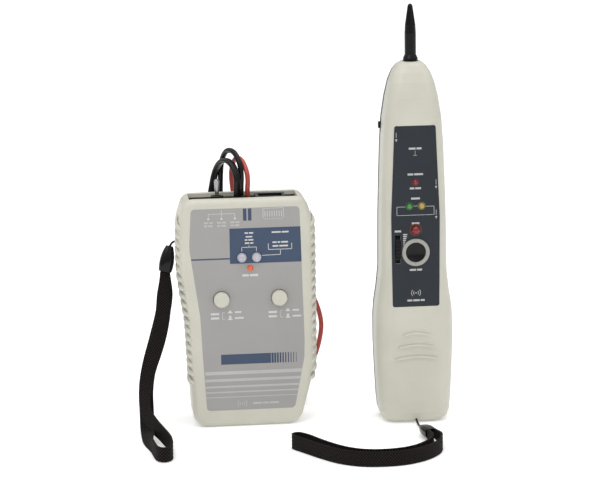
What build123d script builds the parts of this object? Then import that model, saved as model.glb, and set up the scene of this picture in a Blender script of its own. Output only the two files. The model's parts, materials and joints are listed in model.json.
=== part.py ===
from build123d import *
import os
from math import cos, pi, radians, sin, tan

# Tone probe kit: a toner (the transmitter) and a probe (the receiver), standing side by side.
# Millimetres. +X to the right, +Y to the back, +Z up. The origin is the middle of the toner's base.

os.makedirs("parts", exist_ok=True)

# ---------------------------------------------------------------- driving dimensions
WALL = 2.0                # moulded shell thickness
RUNNING_GAP = 0.3         # between a moving piece and the opening it moves in
SHAFT_GAP = 0.05          # radial, round a shaft or a pin
LABEL_THICK = 0.5

TONER_FRONT = -14.0       # y of the toner's front face
TONER_BACK = 14.0
TONER_SPLIT = 2.0         # y of the line where its two shells meet
TONER_TOP = 122.6
TONER_TOP_REAR = 122.6
TONER_EDGE = 3.5          # rounding of the long outer edges
SLOT = (-29.0, 28.0, -9.0, 7.0)        # opening in the toner's top: x, x, y, y
PLATE_TOP = 119.0
PLATE_THICK = 1.6
PLATE_LIP = 1.5           # how far the plate reaches under the edge of the opening
BUTTON_Z = 69.5
TALK_X = -13.5
TONE_X = 17.0
BUTTON_DIA = 8.3
BUTTON_RISE = 2.8
LINE_LEDS = ((-2.3, 91.6), (5.4, 91.6))
LOW_BATTERY_LED = (1.9, 85.9)
TOGGLE_X = -13.8
TOGGLE_Y = -1.0
TOGGLE_PIVOT_Z = 119.0
GROMMET = (-0.3, -0.6)
GROMMET_RADIUS = 6.4
GROMMET_RISE = 3.4
JACK_X = 14.2             # middle of the network jack
TONER_SCREWS = ((-26.5, 105.0), (26.5, 105.0), (-24.0, 14.0), (23.5, 14.0))
STRING_HOLE = (-5.0, 99.8)             # y, z on the toner's left side

PROBE_X = 88.3            # the probe's own upright axis
PROBE_Y = -9.0
PROBE_FRONT = -23.5
PROBE_BACK = 5.5
PROBE_SPLIT = -5.5
LED_SMALL = 3.0
LED_LARGE = 5.0
OVER_CURRENT_Z = 130.2
TELEPHONE_LED_Z = 117.6
TELEPHONE_LED_X = 3.25
SIGNAL_Z = 104.9
TRACE_Z = 93.0
VOLUME_X = -9.4
VOLUME_Z = 94.6
WHEEL_RADIUS = 9.7
WHEEL_RISE = 1.3
MODE_Z = 158.0
EARPHONE = (-8.2, 124.6)               # y, z on the probe's right side
TELEPHONE = (-4.9, 106.0)
TIP_BASE = 192.0
TIP_TOP = 222.0
PROBE_SCREWS = ((0.0, 172.0), (-13.0, 61.0), (13.0, 61.0))

BATTERY = (26.5, 17.5, 48.5)           # a standard 9 V block
BATTERY_Z = 5.0
BLACK_LEAD = 2.9
RED_LEAD = 2.6
TELEPHONE_LEAD = 3.4      # the round cord that stands for the flat one
STRAP = 2.4               # the round cord that stands for 8 by 1.2 webbing
STRING = 1.1
ARC_SHARE = 0.45          # part of the shorter run that each arc of a cord takes up


# ---------------------------------------------------------------- small helpers
def save(name, *solids):
    """Write one node; several solids make one group."""
    shape = solids[0] if len(solids) == 1 else Compound(children=list(solids))
    export_step(shape, f"parts/{name}.step")


def block(x0, x1, y0, y1, z0, z1):
    return Pos((x0 + x1) / 2, (y0 + y1) / 2, (z0 + z1) / 2) * Box(x1 - x0, y1 - y0, z1 - z0)


def rod_x(y, z, x0, x1, radius):
    return Pos((x0 + x1) / 2, y, z) * Rot(0, 90, 0) * Cylinder(radius, x1 - x0)


def rod_y(x, z, y0, y1, radius):
    return Pos(x, (y0 + y1) / 2, z) * Rot(90, 0, 0) * Cylinder(radius, y1 - y0)


def rod_z(x, y, z0, z1, radius):
    return Pos(x, y, (z0 + z1) / 2) * Cylinder(radius, z1 - z0)


def outline(corners):
    """A closed face in the XZ plane from (x, z, corner radius) points."""
    places = [(x, z) for x, z, radius in corners]
    radii = [radius for x, z, radius in corners]
    return Plane.XZ * make_face(FilletPolyline(*places, radius=radii, close=True))


def slab(face, y0, y1):
    """An XZ face made solid from y0 to y1."""
    return Pos(0, y1, 0) * extrude(face, amount=y1 - y0)


def outer_edges(solid, last):
    """The edges round a slab's frontmost or rearmost face."""
    face = solid.faces().sort_by(Axis.Y)[-1 if last else 0]
    return face.edges()


def led(x, z, wall_front, board, diameter):
    """A domed lamp in the front wall, with its flange behind the wall and two legs to the board."""
    radius = diameter / 2
    dome_centre = wall_front - 0.6
    lens = rod_y(x, z, dome_centre, wall_front + WALL, radius) + Pos(x, dome_centre, z) * Sphere(radius)
    flange = rod_y(x, z, wall_front + WALL, wall_front + WALL + 1, radius + 0.45)
    lamp = lens + flange
    for side in (-1, 1):
        lamp += rod_y(x + side * 1.27, z, wall_front + WALL + 0.9, board, 0.25)
    return lamp


def case_screw(x, z, head_back, tip, radius=1.25):
    head = rod_y(x, z, head_back - 2, head_back, 2.4)
    head -= block(x - 0.4, x + 0.4, head_back - 1, head_back, z - 2, z + 2)
    return head + rod_y(x, z, tip, head_back - 2, radius)


def battery(x, y, z):
    """A 9 V block standing on its end, with its two snap studs on top."""
    wide, deep, tall = BATTERY
    case = block(x - wide / 2, x + wide / 2, y - deep / 2, y + deep / 2, z, z + tall)
    case = fillet(case.edges().filter_by(Axis.Z), 2.5)
    top = z + tall
    studs = rod_z(x - 6.35, y, top, top + 2.4, 3.3) + rod_z(x + 6.35, y, top, top + 2.4, 2.8)
    return case + studs


def battery_snap(x, y, z, wire_y, wire_top):
    """The clip that snaps on the studs, and its two wires up to the board."""
    top = z + BATTERY[2]
    clip = block(x - 11.5, x + 11.5, y - 6, y + 6, top + 0.1, top + 4.4)
    clip -= rod_z(x - 6.35, y, top, top + 2.5, 3.3 + SHAFT_GAP)
    clip -= rod_z(x + 6.35, y, top, top + 2.5, 2.8 + SHAFT_GAP)
    wires = [rod_z(x + side * 3, wire_y, top + 4.4, wire_top, 0.6) for side in (-1, 1)]
    return [clip] + wires


# ---------------------------------------------------------------- toner: shells and label
def toner_outline(top):
    return outline([
        (-29.2, 0, 8), (27.4, 0, 9), (35.7, 31.5, 20), (35.7, top - 12.6, 25), (31.6, top, 6),
        (-31.6, top, 6), (-35.7, top - 12.6, 25), (-35.7, 84, 40), (-31.9, 58, 30), (-30.9, 32, 60),
    ])


LABEL_OUTLINE = [
    (-22.4, 9.2, 2), (24.4, 9.2, 2.5), (29.8, 36.5, 8), (30.1, 46, 20), (28.4, 118, 2.2),
    (-28.6, 118, 2), (-29.9, 97, 30), (-24.9, 60.5, 14), (-24.1, 40, 30),
]


def toner_label():
    label = slab(outline(LABEL_OUTLINE), TONER_FRONT, TONER_FRONT + LABEL_THICK)
    for x in (TALK_X, TONE_X):
        label -= rod_y(x, BUTTON_Z, TONER_FRONT - 1, TONER_FRONT + 1, BUTTON_DIA / 2 + RUNNING_GAP)
    for x, z in LINE_LEDS:
        label -= rod_y(x, z, TONER_FRONT - 1, TONER_FRONT + 1, LED_LARGE / 2)
    x, z = LOW_BATTERY_LED
    return label - rod_y(x, z, TONER_FRONT - 1, TONER_FRONT + 1, LED_SMALL / 2)


def toner_front_shell():
    face = toner_outline(TONER_TOP)
    shell = slab(face, TONER_FRONT, TONER_SPLIT)
    shell = fillet(outer_edges(shell, last=False), TONER_EDGE)
    shell -= slab(offset(face, -WALL), TONER_FRONT + WALL, TONER_SPLIT + 1)
    shell -= slab(outline(LABEL_OUTLINE), TONER_FRONT - 1, TONER_FRONT + LABEL_THICK)
    for x, z in TONER_SCREWS:
        shell += rod_y(x, z, TONER_FRONT + WALL, TONER_SPLIT, 3.0)
        shell -= rod_y(x, z, -9, TONER_SPLIT + 1, 1.25)
    shell -= block(SLOT[0], SLOT[1], SLOT[2], TONER_SPLIT + 1, PLATE_TOP - PLATE_THICK, TONER_TOP + 1)
    for x in (TALK_X, TONE_X):
        shell -= rod_y(x, BUTTON_Z, TONER_FRONT - 1, TONER_FRONT + WALL + 1, BUTTON_DIA / 2 + RUNNING_GAP)
    for x, z in LINE_LEDS:
        shell -= rod_y(x, z, TONER_FRONT - 1, TONER_FRONT + WALL + 1, LED_LARGE / 2)
    x, z = LOW_BATTERY_LED
    shell -= rod_y(x, z, TONER_FRONT - 1, TONER_FRONT + WALL + 1, LED_SMALL / 2)
    hole_y, hole_z = STRING_HOLE
    return shell - rod_x(hole_y, hole_z, -38, -32, STRING / 2)


TONER_DOOR = (-15.5, 15.5, 6.0, 60.0)      # opening in the rear shell: x, x, z, z


def toner_rear_shell():
    face = toner_outline(TONER_TOP_REAR)
    shell = slab(face, TONER_SPLIT, TONER_BACK)
    shell = fillet(outer_edges(shell, last=True), TONER_EDGE)
    shell -= slab(offset(face, -WALL), TONER_SPLIT - 1, TONER_BACK - WALL)
    for x, z in TONER_SCREWS:
        shell += rod_y(x, z, TONER_SPLIT, TONER_BACK - WALL, 3.2)
        shell -= rod_y(x, z, TONER_SPLIT - 1, TONER_BACK, 1.25 + SHAFT_GAP)
        shell -= rod_y(x, z, TONER_BACK - 2.5, TONER_BACK + 1, 2.6)
    shell -= block(SLOT[0], SLOT[1], TONER_SPLIT - 1, SLOT[3], PLATE_TOP - PLATE_THICK, TONER_TOP + 1)
    x0, x1, z0, z1 = TONER_DOOR
    return shell - block(x0, x1, TONER_BACK - WALL - 1, TONER_BACK + 1, z0, z1)


def toner_battery_door():
    x0, x1, z0, z1 = TONER_DOOR
    gap = RUNNING_GAP
    door = block(x0 + gap, x1 - gap, TONER_BACK - WALL, TONER_BACK, z0 + gap, z1 - gap)
    return door - block(-5, 5, TONER_BACK - 0.6, TONER_BACK + 1, z1 - 6, z1 - 3)


# ---------------------------------------------------------------- toner: top plate and what is on it
def toner_connector_plate():
    x0, x1, y0, y1 = SLOT
    plate = block(x0 + 0.1, x1 - 0.1, y0 + 0.1, y1 - 0.1, PLATE_TOP - PLATE_THICK, PLATE_TOP)
    plate += block(x0 + 3, x1 - 3, y0 - PLATE_LIP, y1 + PLATE_LIP, PLATE_TOP - PLATE_THICK, PLATE_TOP)
    plate -= rod_z(TOGGLE_X, TOGGLE_Y, 110, 125, 2.7)
    plate -= rod_z(GROMMET[0], GROMMET[1], 110, 125, GROMMET_RADIUS - 0.7)
    return plate - block(JACK_X - 8, JACK_X + 8, -7, 6, 110, 125)


def toggle_body():
    underside = PLATE_TOP - PLATE_THICK
    body = block(TOGGLE_X - 6.5, TOGGLE_X + 6.5, TOGGLE_Y - 4, TOGGLE_Y + 4, underside - 9.5, underside)
    body += rod_z(TOGGLE_X, TOGGLE_Y, underside, 122.6, 2.7)
    for offset_x in (-4.7, 0, 4.7):
        body += block(TOGGLE_X + offset_x - 0.8, TOGGLE_X + offset_x + 0.8, TOGGLE_Y - 0.4, TOGGLE_Y + 0.4,
                      underside - 13, underside - 9.4)
    body -= rod_z(TOGGLE_X, TOGGLE_Y, underside - 1.6, 124, 2.2)
    return body - block(TOGGLE_X - 3.2, TOGGLE_X + 3.2, TOGGLE_Y - 1.8, TOGGLE_Y + 1.8,
                        underside - 5, underside - 1.5)


def toggle_nut():
    return rod_z(TOGGLE_X, TOGGLE_Y, 121.1, 122.5, 3.3) - rod_z(TOGGLE_X, TOGGLE_Y, 121, 123, 2.7)


def toggle_lever():
    """A bat lever: a ball at the pivot, a tapered bat above it and a short tail below."""
    profile = Polyline((0, -3.6), (0.9, -3.6), (0.9, 0), (0.9, 2), (1.35, 11.6), (0.9, 12.5), (0, 12.5),
                       close=True)
    bat = revolve(Plane.XZ * make_face(profile), Axis.Z)
    return Pos(TOGGLE_X, TOGGLE_Y, TOGGLE_PIVOT_Z) * (bat + Sphere(1.85))


LEAD_HOLES = (          # where each lead goes through the grommet: x, y, diameter
    (-3.3, -2.6, TELEPHONE_LEAD), (-0.9, 0.9, BLACK_LEAD), (2.4, 0.3, RED_LEAD),
)


def grommet():
    ball = (GROMMET_RADIUS**2 + GROMMET_RISE**2) / (2 * GROMMET_RISE)
    x, y = GROMMET
    dome = Pos(x, y, PLATE_TOP + GROMMET_RISE - ball) * Sphere(ball)
    dome = dome & rod_z(x, y, PLATE_TOP, PLATE_TOP + 10, GROMMET_RADIUS + 1)
    neck = rod_z(x, y, PLATE_TOP - PLATE_THICK, PLATE_TOP, GROMMET_RADIUS - 0.7)
    flange = rod_z(x, y, PLATE_TOP - PLATE_THICK - 1.4, PLATE_TOP - PLATE_THICK, GROMMET_RADIUS)
    body = dome + neck + flange
    for hole_x, hole_y, diameter in LEAD_HOLES:
        body -= rod_z(hole_x, hole_y, 110, 125, diameter / 2)
    return body


def network_jack():
    """An eight-way modular socket that opens upwards, with its latch notch to the front."""
    body = block(JACK_X - 8, JACK_X + 8, -7, 6, 103, 120.4)
    body -= block(JACK_X - 5.9, JACK_X + 5.9, -4.1, 4.2, 106, 121)
    return body - block(JACK_X - 3, JACK_X + 3, -6, -4, 112, 121)


def network_contacts():
    pins = []
    for index in range(8):
        x = JACK_X + (index - 3.5) * 1.02
        pins.append(Pos(x, 3.4, 112) * Rot(7, 0, 0) * Box(0.45, 0.45, 9))
    return pins


# ---------------------------------------------------------------- toner: buttons and board
TONER_BOARD = (-3.0, -1.4)


def toner_button(x):
    front = TONER_FRONT - BUTTON_RISE
    cap = rod_y(x, BUTTON_Z, front, TONER_FRONT + WALL + 0.4, BUTTON_DIA / 2)
    cap = fillet(cap.faces().sort_by(Axis.Y)[0].edges(), 0.8)
    flange = rod_y(x, BUTTON_Z, TONER_FRONT + WALL + 0.4, TONER_FRONT + WALL + 1.4, BUTTON_DIA / 2 + 0.8)
    stem = block(x - 1.5, x + 1.5, TONER_FRONT + WALL + 1.3, -7.3, BUTTON_Z - 1.5, BUTTON_Z + 1.5)
    return cap + flange + stem


def button_switch(x):
    body = block(x - 4.25, x + 4.25, -7, TONER_BOARD[0], BUTTON_Z - 4.25, BUTTON_Z + 4.25)
    return body - block(x - 1.8, x + 1.8, -8, -4.2, BUTTON_Z - 1.8, BUTTON_Z + 1.8)


def toner_board():
    board = block(-27, 27, TONER_BOARD[0], TONER_BOARD[1], 60, 100)
    chips = [block(-22, -12, TONER_BOARD[1], 0.2, 76, 84), block(8, 18, TONER_BOARD[1], 0.2, 82, 92)]
    return [board] + chips


# ---------------------------------------------------------------- cords
def cord_path(points):
    """Straight runs joined by tangent arcs, each as large as its two runs allow."""
    places = [Vector(*point) for point in points]
    runs = [after - before for before, after in zip(places, places[1:])]
    radii = []
    for before, after in zip(runs, runs[1:]):
        half_turn = radians(before.get_angle(after)) / 2
        radii.append(ARC_SHARE * min(before.length, after.length) / tan(half_turn))
    return FilletPolyline(*places, radius=radii), radii


def cord_tube(points, diameter):
    path, radii = cord_path(points)
    return sweep(Plane(origin=path @ 0, z_dir=path % 0) * Circle(diameter / 2), path=path)


def save_cord(name, points, diameter):
    """Write one cord's node and print its length, its volume and the radius of every arc."""
    path, radii = cord_path(points)
    tube = cord_tube(points, diameter)
    expected = pi * diameter**2 / 4 * path.length
    print(f"{name}: length {path.length:.1f}, volume {tube.volume:.1f} of {expected:.1f}, radii",
          " ".join(f"{radius:.1f}" for radius in radii))
    save(name, tube)


BARREL_Z = 2.1            # height of the barrel on each clip's tail that holds the lead

BLACK_ROUTE = [
    (-0.9, 0.9, 119.6), (-0.9, 0.9, 126.0), (-0.5, 0.5, 132.6), (-1.0, 1.4, 139.0), (-3.5, 6.5, 144.6),
    (-7.1, 13.7, 144.6), (-9.5, 19.2, 138.4), (-10.2, 20.4, 129.0), (-10.6, 19.6, 115.0), (-14.6, 20.0, 93.0),
    (-18.6, 19.6, 67.0), (-18.9, 20.6, 44.0), (-18.7, 22.8, 27.0), (-17.4, 27.0, 14.0), (-14.2, 33.0, 6.0),
    (-9.8, 39.0, 2.8), (-6.6, 45.0, BARREL_Z), (-6.0, 51.6, BARREL_Z), (-6.0, 58.0, BARREL_Z),
]
RED_ROUTE = [
    (2.4, 0.3, 120.0), (2.4, 0.3, 125.0), (2.9, -0.1, 130.2), (2.3, 0.9, 135.4), (0.3, 6.2, 140.4),
    (-2.3, 13.5, 140.4), (-4.3, 19.0, 134.6), (-4.4, 20.0, 125.0), (-2.0, 19.4, 111.0), (5.0, 19.8, 96.0),
    (19.0, 19.4, 82.0), (35.8, 19.3, 69.0), (43.4, 19.6, 50.0), (42.0, 20.0, 36.5), (36.8, 21.6, 21.5),
    (34.2, 25.2, 11.0), (33.3, 31.0, 4.2), (33.0, 37.6, BARREL_Z), (33.0, 44.4, BARREL_Z),
]
TELEPHONE_ROUTE = [
    (-3.3, -2.6, 119.6), (-3.3, -2.6, 125.6), (-2.9, -3.1, 132.6), (-5.6, 2.4, 139.8), (-10.0, 11.8, 139.8),
    (-13.2, 19.2, 132.4), (-15.0, 20.6, 121.0), (-18.4, 20.0, 104.0), (-23.2, 20.6, 80.0), (-24.8, 20.2, 56.0),
    (-24.6, 21.4, 33.0), (-23.4, 25.6, 14.0), (-20.4, 34.6, 4.4), (-17.4, 45.4, 1.9),
    (-16.0, 55.4, 2.6), (-16.0, 64.6, 2.6),
]
TONER_STRAP_ROUTE = [
    (-42.6, -8.0, 84.0), (-43.2, -9.4, 70.4), (-45.0, -10.4, 56.4), (-48.6, -11.4, 43.4), (-52.8, -12.6, 32.0),
    (-55.4, -15.6, 21.0), (-55.6, -22.2, 12.0), (-52.0, -31.4, 8.0), (-47.4, -42.0, 5.2), (-44.6, -54.0, 4.4),
    (-43.9, -66.0, 4.2), (-44.8, -72.8, 4.2), (-48.4, -76.2, 4.2), (-52.0, -73.0, 4.2), (-53.2, -64.0, 4.2),
    (-54.2, -49.0, 3.6), (-54.8, -34.4, 2.8), (-54.6, -20.8, 3.2), (-54.2, -10.8, 8.6), (-54.4, -6.8, 21.0),
    (-52.0, -6.4, 34.2), (-47.8, -6.0, 47.6), (-44.0, -5.0, 61.0), (-42.0, -4.6, 73.0), (-42.2, -4.4, 84.0),
]
PROBE_STRAP_ROUTE = [
    (88.8, -57.6, 4.0), (90.0, -67.0, 4.0), (88.4, -76.6, 4.0), (82.6, -85.6, 4.0), (74.0, -92.6, 4.0),
    (63.6, -95.4, 4.0), (53.6, -94.8, 4.0), (45.2, -90.6, 4.0), (37.8, -82.2, 4.0), (30.8, -70.8, 4.0),
    (25.7, -60.6, 4.0), (20.9, -56.2, 4.0), (17.1, -59.8, 4.0), (22.7, -68.4, 4.0), (30.2, -80.8, 4.0),
    (38.6, -92.0, 4.0), (49.0, -98.6, 4.0), (60.6, -100.2, 4.0), (72.0, -98.8, 4.0), (82.4, -92.8, 4.0),
    (90.4, -83.6, 4.0), (94.0, -73.4, 4.0), (93.8, -63.4, 4.0), (92.4, -56.8, 4.0),
]


# ---------------------------------------------------------------- what is on the leads' ends
CLIP_TIP = 22.0
CLIP_TAIL = 17.0
CLIP_PIVOT_Z = 4.6
CLIP_TOOTH = 1.6
BLACK_CLIP = (-6.0, 71.8)              # x, y of each clip's pivot
RED_CLIP = (33.0, 57.8)
PLUG = (-16.0, 60.2)                   # x of the telephone plug's middle, y of its mouth


def clip_teeth(height):
    """Notches across the jaws' meeting faces, near the tips."""
    notches = []
    for index in range(6):
        x = CLIP_TIP - 1.5 - index * CLIP_TOOTH
        notches.append(Pos(x, 0, height) * Rot(0, 45, 0) * Box(0.8, 8, 0.8))
    return notches


def fixed_jaw(lead):
    """The lower jaw: a tapered nose, two ears for the pin, and a tail with a barrel round the lead."""
    top_view = Polyline((2.4, -2.6), (CLIP_TIP, -1.6), (CLIP_TIP, 1.6), (2.4, 2.6), close=True)
    nose = extrude(make_face(top_view), 3.3)
    tail = block(-CLIP_TAIL, 2.6, -3, 3, 0, 1)
    barrel = rod_x(0, BARREL_Z, -CLIP_TAIL, -CLIP_TAIL + 4.6, 2.0)
    jaw = nose + tail + barrel - rod_x(0, BARREL_Z, -CLIP_TAIL - 1, -CLIP_TAIL + 5, lead / 2)
    for side in (-1, 1):
        jaw += block(-1.8, 2.6, min(side * 3, side * 2.2), max(side * 3, side * 2.2), 0.9, CLIP_PIVOT_Z + 2)
    for notch in clip_teeth(3.3):
        jaw -= notch
    return jaw - Pos(0, 0, CLIP_PIVOT_Z) * Rot(90, 0, 0) * Cylinder(0.75, 10)


def moving_jaw():
    """The upper jaw, with the thumb plate that rises behind the pin."""
    nose = Pos(0, 0, 3.7) * extrude(
        make_face(Polyline((2.4, -1.8), (CLIP_TIP, -1.2), (CLIP_TIP, 1.2), (2.4, 1.8), close=True)), 3.2)
    hub = block(-2.0, 2.6, -1.8, 1.8, 3.7, 6.9)
    side_view = Polyline((-1.6, 5.6), (-1.6, 6.9), (-CLIP_TAIL + 1, 11.4), (-CLIP_TAIL + 0.7, 10.3),
                         close=True)
    thumb = Pos(0, 1.8, 0) * extrude(Plane.XZ * make_face(side_view), 3.6)
    hub -= Pos(0, 0, CLIP_PIVOT_Z) * Rot(90, 0, 0) * Cylinder(0.75 + SHAFT_GAP, 10)
    jaw = nose + hub + thumb
    for notch in clip_teeth(3.7):
        jaw -= notch
    return jaw


def place_clip(piece, spot):
    """Turn a clip so that its jaws point to the back, and put its pivot at a spot on the floor."""
    return Pos(spot[0], spot[1], 0) * Rot(0, 0, 90) * piece


def telephone_plug(x, y):
    """A six-way modular plug lying on the floor, mouth of the cord towards -Y, latch on top."""
    body = block(x - 4.8, x + 4.8, y, y + 12.3, 0, 5.6)
    body -= block(x - 2.6, x + 2.6, y - 1, y + 4.5, 0.9, 4.3)
    for index in range(4):
        slot_x = x + (index - 1.5) * 1.02
        body -= block(slot_x - 0.25, slot_x + 0.25, y + 9, y + 13, -1, 2.2)
    return body


def telephone_plug_contacts(x, y):
    blades = []
    for index in range(4):
        slot_x = x + (index - 1.5) * 1.02
        blades.append(block(slot_x - 0.2, slot_x + 0.2, y + 9.1, y + 12.1, 0.3, 2.1))
    return blades


def telephone_plug_latch(x, y):
    """The springy tab: fixed at the plug's nose and sloping up towards the cord."""
    side_view = Polyline((y + 11.9, 5.7), (y + 12.3, 6.3), (y + 1.0, 9.2), (y + 0.6, 8.4), close=True)
    tab = Pos(x - 1.6, 0, 0) * extrude(Plane.YZ * make_face(side_view), 3.2)
    return tab


# ---------------------------------------------------------------- wrist straps
def strap_crimp(start, end, wide, thick):
    """The moulded sleeve that holds string and webbing together, tapered towards the string."""
    axis = Vector(*end) - Vector(*start)
    plane = Plane(origin=start, z_dir=axis)
    corner = 0.4 * min(wide, thick)
    small = plane * RectangleRounded(wide * 0.55, thick * 0.55, corner * 0.55)
    middle = plane.offset(axis.length * 0.3) * RectangleRounded(wide * 0.95, thick * 0.95, corner)
    large = plane.offset(axis.length) * RectangleRounded(wide, thick, corner)
    return loft([small, middle, large])


# ---------------------------------------------------------------- probe: shells
# Each level of the probe's body: z, half width, front y, back y, corner radius.
PROBE_LEVELS = [
    (0.0, 12.5, -17.5, -0.6, 6.0), (0.8, 15.4, -20.3, 2.0, 7.0), (2.5, 17.3, -22.0, 3.8, 7.5),
    (6.0, 18.5, -23.1, 5.0, 8.0), (12.0, 19.1, PROBE_FRONT, PROBE_BACK, 8.0),
    (25.0, 19.8, PROBE_FRONT, PROBE_BACK, 8.0), (42.0, 20.5, PROBE_FRONT, PROBE_BACK, 8.0),
    (56.0, 20.5, PROBE_FRONT, PROBE_BACK, 8.0), (63.0, 20.0, PROBE_FRONT, PROBE_BACK, 8.0),
    (72.0, 18.6, PROBE_FRONT, PROBE_BACK, 7.8), (82.0, 17.5, PROBE_FRONT, PROBE_BACK, 7.6),
    (110.0, 17.2, PROBE_FRONT, PROBE_BACK, 7.5), (131.0, 16.6, PROBE_FRONT, PROBE_BACK, 7.5),
    (150.0, 15.9, PROBE_FRONT, PROBE_BACK, 7.5), (163.0, 15.0, PROBE_FRONT, PROBE_BACK, 7.2),
    (174.0, 13.3, -22.6, 4.6, 6.5), (182.0, 11.5, -21.0, 3.2, 6.0), (187.0, 9.6, -19.2, 1.4, 5.4),
    (190.4, 7.4, -17.2, -0.8, 4.8), (192.0, 5.2, -14.8, -3.2, 4.4),
]


def probe_body(inset):
    """The whole body as one lofted solid, drawn in by an inset on every side."""
    sections = []
    for z, half_width, front, back, corner in PROBE_LEVELS:
        width = 2 * (half_width - inset)
        depth = back - front - 2 * inset
        radius = max(corner - inset, 1.5)
        level = min(max(z, inset), TIP_BASE - inset)
        if sections and level - sections[-1][0] < 0.5:
            continue
        face = Pos(PROBE_X, (front + back) / 2, level) * RectangleRounded(width, depth, radius)
        sections.append((level, face))
    return loft([face for level, face in sections], ruled=True)


def half(solid, front):
    """The part of a solid in front of, or behind, the line where the shells meet."""
    if front:
        return solid & block(40, 130, -60, PROBE_SPLIT, -5, 230)
    return solid & block(40, 130, PROBE_SPLIT, 60, -5, 230)


PROBE_LABEL = [
    (-12.4, 63.8, 1.2), (12.4, 63.8, 1.2), (12.8, 112, 60), (10.8, 160, 1.2), (-10.8, 160, 1.2),
    (-12.8, 112, 60),
]
PROBE_LAMPS = [         # x from the probe's axis, z, diameter
    (0.0, OVER_CURRENT_Z, LED_SMALL), (-TELEPHONE_LED_X, TELEPHONE_LED_Z, LED_SMALL),
    (TELEPHONE_LED_X, TELEPHONE_LED_Z, LED_SMALL), (0.0, SIGNAL_Z, LED_LARGE),
]
BEZEL_RADIUS = 7.3
BEZEL_NECK = 6.3
BEZEL_BORE = 5.25
PROBE_DOOR = (-14.0, 14.0, 12.5, 56.5)
VOLUME_SLOT = (1.45, 7.6)              # half width, half length
MODE_SLOT = (-4.7, -1.5, 3.95)         # y, y, half length
EARPHONE_BORE = 1.8


def front_openings():
    """What is cut through the probe's label and the wall behind it."""
    reach = (PROBE_FRONT - 2, PROBE_FRONT + WALL + 1)
    cuts = [rod_y(PROBE_X + x, z, *reach, diameter / 2) for x, z, diameter in PROBE_LAMPS]
    cuts.append(rod_y(PROBE_X, TRACE_Z, *reach, BEZEL_NECK))
    half_wide, half_long = VOLUME_SLOT
    cuts.append(block(PROBE_X + VOLUME_X - half_wide, PROBE_X + VOLUME_X + half_wide, *reach,
                      VOLUME_Z - half_long, VOLUME_Z + half_long))
    return cuts


def side_openings():
    """What is cut through the probe's sides: the two sockets, the switch slot and the tip's collar."""
    y, z = EARPHONE
    cuts = [rod_x(y, z, PROBE_X + 12, PROBE_X + 20, 2.4)]
    y, z = TELEPHONE
    cuts.append(block(PROBE_X + 13, PROBE_X + 20, y - 3.6, y + 3.6, z - 5.1, z + 5.1))
    y0, y1, half_long = MODE_SLOT
    cuts.append(block(PROBE_X - 18, PROBE_X - 11, y0, y1, MODE_Z - half_long, MODE_Z + half_long))
    cuts.append(rod_z(PROBE_X, PROBE_Y, 189, 193, 3.6))
    return cuts


def probe_label():
    label = Pos(PROBE_X, 0, 0) * slab(outline(PROBE_LABEL), PROBE_FRONT, PROBE_FRONT + LABEL_THICK)
    for cut in front_openings():
        label -= cut
    return label


def grip_ridge(z, half_length):
    """One of three raised arched bars below the label."""
    arch = ThreePointArc((-half_length, z - 1.2), (0, z), (half_length, z - 1.2))
    bar = slab(Plane.XZ * SlotArc(arch, 1.3), PROBE_FRONT - 0.7, PROBE_FRONT + 0.5)
    return Pos(PROBE_X, 0, 0) * bar


def probe_front_shell():
    shell = half(probe_body(0) - probe_body(WALL), front=True)
    for x, z in PROBE_SCREWS:
        shell += rod_y(PROBE_X + x, z, PROBE_FRONT + WALL - 0.5, PROBE_SPLIT, 2.8)
        shell -= rod_y(PROBE_X + x, z, -12, PROBE_SPLIT + 1, 1.25)
    shell -= Pos(PROBE_X, 0, 0) * slab(outline(PROBE_LABEL), PROBE_FRONT - 1, PROBE_FRONT + LABEL_THICK)
    for cut in front_openings() + side_openings():
        shell -= cut
    for z, half_length in ((49.4, 6.5), (42.9, 8.7), (36.6, 10.6)):
        shell += grip_ridge(z, half_length)
    return shell - cord_tube(PROBE_STRING_ROUTE, STRING)


def probe_rear_shell():
    shell = half(probe_body(0) - probe_body(WALL), front=False)
    for x, z in PROBE_SCREWS:
        shell += rod_y(PROBE_X + x, z, PROBE_SPLIT, PROBE_BACK - WALL + 0.5, 2.8)
        shell -= rod_y(PROBE_X + x, z, PROBE_SPLIT - 1, PROBE_BACK, 1.25 + SHAFT_GAP)
        shell -= rod_y(PROBE_X + x, z, PROBE_BACK - 2.5, PROBE_BACK + 1, 2.6)
    for cut in side_openings():
        shell -= cut
    for row in (-1, 0, 1):
        for column in (-1, 0, 1):
            shell -= rod_y(PROBE_X + column * 4, SPEAKER_Z + row * 4, PROBE_BACK - 3, PROBE_BACK + 1, 0.9)
    x0, x1, z0, z1 = PROBE_DOOR
    return shell - block(PROBE_X + x0, PROBE_X + x1, PROBE_BACK - 5, PROBE_BACK + 1, z0, z1)


def probe_battery_door():
    x0, x1, z0, z1 = PROBE_DOOR
    gap = RUNNING_GAP
    panel = block(PROBE_X + x0 + gap, PROBE_X + x1 - gap, PROBE_BACK - WALL, PROBE_BACK + 1,
                  z0 + gap, z1 - gap)
    door = panel & probe_body(0)
    return door - block(PROBE_X - 5, PROBE_X + 5, PROBE_BACK - 0.6, PROBE_BACK + 1, z1 - 6, z1 - 3)


# ---------------------------------------------------------------- probe: what it holds
PROBE_BOARD = (-12.4, -10.8)
SPEAKER_Z = 137.0
WHEEL_CENTRE_Y = PROBE_FRONT - WHEEL_RISE + WHEEL_RADIUS
WHEEL_HALF = 1.1


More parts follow.
